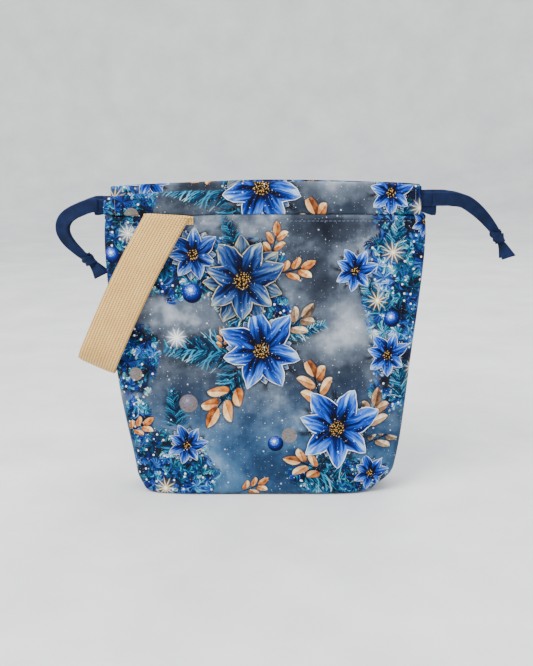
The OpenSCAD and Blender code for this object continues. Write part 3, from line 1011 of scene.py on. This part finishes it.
def ribbon_mesh(line, across, width, thick, belly=0.0, skew=0.0, cols=8):
    """Points, faces and cloth coordinates of a flat ribbon along a line."""
    count = len(line)
    width = np.broadcast_to(width, count)
    belly = np.broadcast_to(belly, count)
    skew = np.broadcast_to(skew, count)
    along = tangents(line)
    across = across - along * (across * along).sum(1)[:, None]
    across = across / np.linalg.norm(across, axis=1)[:, None]
    normal = np.cross(along, across)
    run = np.concatenate([[0], np.cumsum(np.linalg.norm(np.diff(line, axis=0), axis=1))])
    shares = np.linspace(-1, 1, cols + 1)
    verts, uvs = [], []
    for i in range(count):
        ring = []
        for t in shares:
            middle = line[i] + across[i] * width[i] / 2 * t + along[i] * skew[i] * t
            middle = middle + normal[i] * belly[i] * (1 - t * t)
            half = thick / 2 * (1 - 0.7 * t ** 6)
            ring.append((middle + normal[i] * half, middle - normal[i] * half, width[i] / 2 * t))
        verts += [r[0] for r in ring] + [r[1] for r in ring[::-1]]
        uvs += [(r[2], run[i]) for r in ring] + [(r[2], run[i]) for r in ring[::-1]]
    size = 2 * (cols + 1)
    faces = grid_quads(count, size, 0, False, True)
    last = (count - 1) * size
    for k in range(cols):
        faces.append((k, k + 1, size - 2 - k, size - 1 - k)[::-1])
        faces.append((last + k, last + k + 1, last + size - 2 - k, last + size - 1 - k))
    return verts, faces, uvs


def joined(name, *pieces):
    """One object made of several ribbons or shells."""
    verts, faces, uvs = [], [], []
    for v, f, t in pieces:
        start = len(verts)
        verts += list(v)
        faces += [tuple(start + k for k in face) for face in f]
        uvs += list(t)
    obj = new_object(name, verts, faces)
    set_uv(obj, uvs)
    turn_faces_out(obj.data)
    return obj


def turn_faces_out(mesh):
    """Turns the faces of a mesh to point outwards."""
    bm = bmesh.new()
    bm.from_mesh(mesh)
    bmesh.ops.recalc_face_normals(bm, faces=bm.faces)
    bm.to_mesh(mesh)
    bm.free()


# ---- Handle ----

# Place across and up of the fold that the loop turns about
PIVOT = (-76.0, 230.0)
# Drop and bottom radius of the loop, and how far its legs are from the bag's middle at the fold
LOOP_DROP = 142.0
LOOP_R = 24.0
LEG_Y = 17.4
# Width and middle of the sewn ends, and how far below the fold the loop takes over
FOLD_W = 38.5
FOLD_X = -75.5
FOLD_AT = 4.5
# How far the legs lean from upright at the fold and lower down, in degrees
LEAN_TOP = 30.0
LEAN_LOW = 24.5
# Strips of faces across the webbing
STRAP_COLS = 14


def leg_place(s):
    """Place across and up the bag at distance s down the handle's middle line, and its lean."""
    steps = np.linspace(0, s, 40)
    lean = np.radians(LEAN_TOP + (LEAN_LOW - LEAN_TOP) * ease(steps / 110))
    x = PIVOT[0] + 1.5 - np.trapz(np.sin(lean), steps)
    z = PIVOT[1] + 0.4 - np.trapz(np.cos(lean), steps)
    return x, z, lean[-1]


def loop_ribbon():
    """The loop: its front leg, its bottom bend and its back leg."""
    straight = LOOP_DROP - LOOP_R
    leg = [(s, -(LEG_Y + (LOOP_R - LEG_Y) * ease(s / 62))) for s in np.linspace(FOLD_AT, straight, 46)]
    bend = [(straight + LOOP_R * math.sin(a), -LOOP_R * math.cos(a))
            for a in np.linspace(0, math.pi, 26)[1:-1]]
    path = leg + bend + [(s, -y) for s, y in leg[::-1]]
    line, across = [], []
    for s, y in path:
        x, z, lean = leg_place(s)
        line.append((x, y, z))
        across.append((math.cos(lean), 0.0, -math.sin(lean)))
    # Each leg turns in its own plane towards the fold, and the webbing is curled a little
    near_fold = 1 - ease((np.array(path)[:, 0] - FOLD_AT) / 18)
    skew = np.where(np.arange(len(path)) < len(path) / 2, -8.0, 8.0) * near_fold
    curl = 0.35 * np.sin(np.linspace(0, 6 * math.pi, len(path)))
    return ribbon_mesh(np.array(line), np.array(across), STRAP_W, STRAP_T, curl, skew, STRAP_COLS)


def make_handle(webbing):
    """The free loop of the handle and its two sewn ends."""
    loop = joined("handle_loop", loop_ribbon())
    finish_piece(loop, webbing)
    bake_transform(loop)
    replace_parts(loop, "handle_webbing")
    for side, word in SIDES:
        tab_line = resample(np.array(fold_line(side)), 22)
        level = np.array([(side * -1.0, 0.0, side * 0.06)] * len(tab_line))
        tab = joined("handle_end_" + word,
                     ribbon_mesh(tab_line, level, FOLD_W, STRAP_T, cols=STRAP_COLS))
        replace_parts(finish_piece(tab, webbing, "bag"), "handle_tab_" + word)


def fold_line(side):
    """Middle line of a sewn end: up from the seam and over into the top of its leg."""
    y = -side * (TAB_LOW[1] + TAB_HIGH[1]) / 2
    y_leg = side * (LEG_Y - 0.1)
    r = abs(y_leg - y) / 2
    top = PIVOT[1] - 4.0
    rise = [(FOLD_X, y, top - 6), (FOLD_X, y, top - 4), (FOLD_X, y, top - 2)]
    over = [(FOLD_X, (y + y_leg) / 2 + (y - y_leg) / 2 * math.cos(a), top + r * math.sin(a))
            for a in np.linspace(0, math.pi, 9)]
    return rise + over + [(FOLD_X, y_leg, top - 0.8)]


# ---- Drawstrings ----

STRAND_POINTS = 72
# Heights of the tapes in the casings: where the right one crosses the left one, at the bridges
# between the casings and where the right one leaves them
CROSS_Z = BODY_H + 19.5
BRIDGE_Z = BODY_H + 7
EXIT_Z = BODY_H + 12
# Share of the way over which the tapes change lanes, and a lane's distance from the channel's middle
CROSSING = 0.28
LANE = 1.0
# How far a tape's stubs and its bridge reach past the casings, and the bridge's corner radius
STUB = 13
BRIDGE_REACH = 10.5
BRIDGE_R = 3.5
KNOT_AT = KNOT_STEP / (len(RIGHT_ROUTE) - 1)
# By place along a strand: how far its tape turns from upright, in degrees, and its width
STRAND_TURN = ((0, 0.12, 0.35, 0.6, KNOT_AT, 1), (0, 0, 14, 24, 14, -14))
STRAND_WIDTH = ((0, 0.2, 0.42, 0.6, 0.72, KNOT_AT - 0.03, KNOT_AT + 0.03, 0.93, 1),
                (11, 11, 10.6, 9.2, 7.4, 5.6, 5.4, 8.6, 12.0))
TAIL_SLANT = 0.8
KNOT_POINTS = 44
# The two wraps of a knot: place along it, turns, tilt in degrees, radius and band width
KNOT_WRAPS = ((0.0, 1.35, 24, 3.9, 7.6), (-0.1, 0.8, -32, 3.1, 8.6))


def strand_line(route, side):
    """Middle line of a strand. Routes are those of the front strands."""
    line = spline(route, STRAND_POINTS)
    line[:, 1] *= -side
    return line


def make_strand(name, route, side, tape, node):
    """One free end of a drawstring, from the casing through the knot to its cut end."""
    line = strand_line(route, side)
    share = np.linspace(0, 1, len(line))
    along = tangents(line)
    flat = np.cross(along, (0, 1, 0))
    flat /= np.linalg.norm(flat, axis=1)[:, None]
    up = np.cross(along, flat)
    angle = -side * np.radians(np.interp(share, *STRAND_TURN))
    across = flat * np.cos(angle)[:, None] + up * np.sin(angle)[:, None]
    crease = 0.9 * np.sin(share * math.pi) * side
    slant = TAIL_SLANT * ease((share - 0.86) / 0.14)
    obj = joined(name, ribbon_mesh(line, across, np.interp(share, *STRAND_WIDTH), TAPE_T, crease, slant))
    finish_piece(obj, tape)
    edge = 1 if line[0][0] > 0 else -1
    start = (edge * HELD_X * MM, 0, line[0][2] * MM)
    end = (edge * FREE_X * MM, 0, line[0][2] * MM)
    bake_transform(obj)
    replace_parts(obj, node)
    return obj, line


def knot_mesh(centre, axis, turns, tilt, radius, band):
    """The wrap of an overhand knot: a band that winds round the strands."""
    axis = axis / np.linalg.norm(axis)
    side = np.cross(axis, (0, 1, 0))
    side /= np.linalg.norm(side)
    depth = np.cross(side, axis)
    line, across = [], []
    for t in np.linspace(0, 1, KNOT_POINTS):
        a = 2 * math.pi * turns * t
        out = side * math.cos(a) + depth * math.sin(a)
        r = radius * (1 + 0.12 * math.sin(a * 1.5) + 0.1 * t)
        lean = math.radians(tilt)
        line.append(centre + out * r + axis * ((t - 0.5) * 5.2 + r * math.tan(lean) * math.cos(a)))
        across.append(axis * math.cos(lean) - side * math.sin(lean) * 0.6)
    width = band * (1 - 0.12 * np.cos(np.linspace(0, 9, KNOT_POINTS)))
    return ribbon_mesh(np.array(line), np.array(across), width, 1.5, 0.9)


def make_drawstrings(tape):
    """The four free strands and the two knots."""
    for word, route in (("right", RIGHT_ROUTE), ("left", LEFT_ROUTE)):
        body, loop = word + "_drawstring", word + "_loop"
        centre = np.array(route[KNOT_STEP], dtype=float) * (1, 0, 1)
        before, after = route[KNOT_STEP - 1], route[KNOT_STEP + 1]
        axis = (np.array(after, dtype=float) - np.array(before, dtype=float)) * (1, 0, 1)
        wrap = joined(word + "_knot_wrap", *(knot_mesh(centre + axis * shift, axis, *sizes)
                                             for shift, *sizes in KNOT_WRAPS))
        finish_piece(wrap, tape, loop)
        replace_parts(wrap, word + "_knot")
        for side, name in SIDES:
            obj, line = make_strand(word + "_strand_tape_" + name, route, side, tape,
                                    word + "_strand_" + name)
            tuple(line[0] * MM)
            [tuple(p * MM) for p in line]


def fit_height(x, z, side, travel):
    """Keeps a tape inside its casing's channel, at rest and when it has slid by travel."""
    spots = [x + travel * share for share in (0.0, 0.5, 1.0)]
    low = np.max([seam_z(at, side) for at in spots], axis=0) + TAPE_W / 2 + 0.8
    high = np.min([casing_top(at, side) for at in spots], axis=0) - TAPE_W / 2 - COLLAR_WALL - 1.4
    return np.minimum(np.maximum(z, low), np.maximum(high, low))


def channel_shift(x, z, side, travel):
    """How far the casing's waves carry its channel, midway through the tape's travel."""
    at = x + travel / 2
    low = seam_z(at, side)
    rise = (z - low) / (casing_top(at, side) - COLLAR_T / 2 - low)
    return casing_wave(at, side) * ease(rise * 1.4) * ease((COLLAR_HALF_W - np.abs(x)) / 12)


def run_heights(t, pull):
    """Heights of a tape in the casings, t going from 1 at its knot's side to -1."""
    if pull < 0:
        return np.full(len(t), BRIDGE_Z)
    settle = ease((np.abs(t) - CROSSING) / (1 - CROSSING))
    return CROSS_Z + settle * (np.where(t > 0, EXIT_Z, BRIDGE_Z) - CROSS_Z)


def run_bridge(pull):
    """The bend of a tape from the front casing to the back one."""
    far = -pull * (COLLAR_HALF_W + BRIDGE_REACH - BRIDGE_R)
    lane = COLLAR_Y - LANE - BRIDGE_R
    quarter = [math.pi / 2 * k / 6 for k in range(7)]
    return [(far - pull * BRIDGE_R * math.sin(a), side * (lane + BRIDGE_R * math.cos(a)), BRIDGE_Z - 2.6)
            for side in (FRONT, BACK) for a in quarter[::-side]]


def make_runs(tape):
    """The hidden length of each drawstring, with the bridge between the casings and two stubs."""
    t = np.linspace(1, -1, 90)
    lane = COLLAR_Y + LANE * (2 * ease((t / CROSSING + 1) / 2) - 1)
    for word, pull in (("right", 1), ("left", -1)):
        x = t * COLLAR_HALF_W * pull
        z = run_heights(t, pull)
        slide = pull * TAPE_SLACK
        rails = []
        for side in (FRONT, BACK):
            fitted = fit_height(x, z, side, slide)
            y = side * lane + channel_shift(x, fitted, side, slide)
            rails.append(np.stack([x, y, fitted], axis=1))
        stubs = [(pull * (COLLAR_HALF_W + STUB), side * (COLLAR_Y + LANE), z[0]) for side in (FRONT, BACK)]
        line = resample(np.vstack([stubs[:1], rails[0], run_bridge(pull), rails[1][::-1], stubs[1:]]), 260)
        up = np.array([(0.0, 0.0, 1.0)] * len(line))
        run = joined(word + "_tape_in_casings", ribbon_mesh(line, up, TAPE_W, TAPE_T, cols=6))
        finish_piece(run, tape, word + "_drawstring")
        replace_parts(run, word + "_tape_run")


# ---- Stitching ----

# Number, length and thickness of the stitches: those below the collar seam, and in each hem
TOPSTITCHES = (67, 2.7, 0.42)
HEM_STITCHES = (9, 1.9, 0.36)
# Profile of one stitch: place along it, thickness and rise, as shares
STITCH_PROFILE = ((-1.0, 0.35, -1.1), (-0.72, 0.85, -0.2), (-0.3, 1.0, 0.12), (0.3, 1.0, 0.12),
                  (0.72, 0.85, -0.2), (1.0, 0.35, -1.1))


def stitches(name, places, directions, normal, length, thick):
    """A row of sewn stitches: short threads whose ends dip into the cloth."""
    verts, faces, uvs = [], [], []
    sides = 6
    for place, along in zip(places, directions):
        side = np.cross(along, normal)
        start = len(verts)
        for at, size, rise in STITCH_PROFILE:
            centre = place + along * (at * length / 2) + normal * (rise * thick / 2)
            for k in range(sides):
                a = 2 * math.pi * k / sides
                r = thick / 2 * size
                verts.append(centre + (side * math.cos(a) + normal * math.sin(a)) * r)
                uvs.append((r * a, at * length / 2))
        faces += grid_quads(len(STITCH_PROFILE), sides, start, False, True)
        faces.append(tuple(start + k for k in range(sides))[::-1])
        faces.append(tuple(len(verts) - sides + k for k in range(sides)))
    return joined(name, (verts, faces, uvs))


def topstitch_line(side):
    """Places of the topstitches, in the groove that they pull into the outer panel."""
    grid, _ = body_layer(side, 0.0)
    row_z = grid[:, BODY_COLS // 2, 2]
    seam = grid[int(np.argmin(np.abs(row_z - (BODY_H - TOPSTITCH_DOWN))))]
    return resample(seam[np.abs(seam[:, 0]) < TOP_HALF_W - 12], TOPSTITCHES[0])


def hem_lines(side):
    """Places of the stitches in a casing's two hems."""
    face, _ = casing_face(side, 0.0)
    places = []
    for end in (-1, 1):
        j = int(np.argmin(np.abs(face[0, :, 0] - end * (COLLAR_HALF_W - 7))))
        places.append(resample(face[1:15, j], HEM_STITCHES[0]))
    return np.vstack(places)


def make_stitching(thread):
    """Topstitching below the collar seam and the hems at the casings' ends."""
    for side, word in SIDES:
        out = np.array((0.0, side, 0.0))
        seam = topstitch_line(side)
        row = stitches("topstitching_" + word, seam + out * 0.12, tangents(seam), out, *TOPSTITCHES[1:])
        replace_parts(finish_piece(row, thread, "bag"), "topstitch_" + word)
        hems = hem_lines(side)
        up = np.array([(0.0, 0.0, 1.0)] * len(hems))
        hem = stitches("hem_stitching_" + word, hems + out * 0.1, up, out, *HEM_STITCHES[1:])
        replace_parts(finish_piece(hem, thread, "bag"), "hem_stitches_" + word)


# ---- Floor and light ----

# Soft lights: name, place and size in metres, power in watts; and the point that they face
LAMPS = (
    ("window", (-0.9, -1.0, 1.5), 1.1, 56.0), ("fill", (1.1, -1.2, 0.9), 1.6, 12.0),
    ("back", (0.5, 1.3, 1.2), 1.4, 14.0), ("top", (0.1, 0.1, 1.7), 1.2, 18.0),
)
LIT_POINT = (0, 0, 0.12)
# The floor's profile in millimetres, from its middle out: flat, then turned up into a backdrop
FLOOR_PROFILE = (
    (1, 0), (300, 0), (900, 0), (1600, 0), (1900, 12), (2150, 70), (2330, 190), (2430, 400),
    (2460, 700), (2465, 1000),
)
SKY_COLOUR = (0.86, 0.9, 1.0, 1.0)
SKY_STRENGTH = 0.85


def make_stage():
    """A plain pale floor that turns up into a backdrop all round, and soft studio light."""
    turns = np.linspace(0, 2 * math.pi, 64, endpoint=False)
    verts = [(r * math.cos(a), r * math.sin(a), z - 0.15) for r, z in FLOOR_PROFILE for a in turns]
    floor = new_object("floor", verts, grid_quads(len(FLOOR_PROFILE), len(turns), 0, False, True))
    floor.data.materials.append(floor_material())
    world = bpy.data.worlds.new("studio")
    bpy.context.scene.world = world
    world.use_nodes = True
    sky = world.node_tree.nodes["Background"]
    sky.inputs[0].default_value = SKY_COLOUR
    sky.inputs[1].default_value = SKY_STRENGTH
    for name, place, size, power in LAMPS:
        light = bpy.data.lights.new(name, "AREA")
        light.size = size
        light.energy = power
        lamp = bpy.data.objects.new(name, light)
        lamp.location = place
        aim = Vector(LIT_POINT) - Vector(place)
        lamp.rotation_euler = aim.to_track_quat("-Z", "Y").to_euler()
        bpy.context.scene.collection.objects.link(lamp)


def main():
    make_camera()
    tape = tape_material()
    make_drawstrings(tape)
    make_runs(tape)
    printed = print_material()
    make_body(printed, wadding_material(), lining_material())
    make_casings(printed)
    make_handle(webbing_material())
    make_stitching(thread_material())
    make_stage()


main()
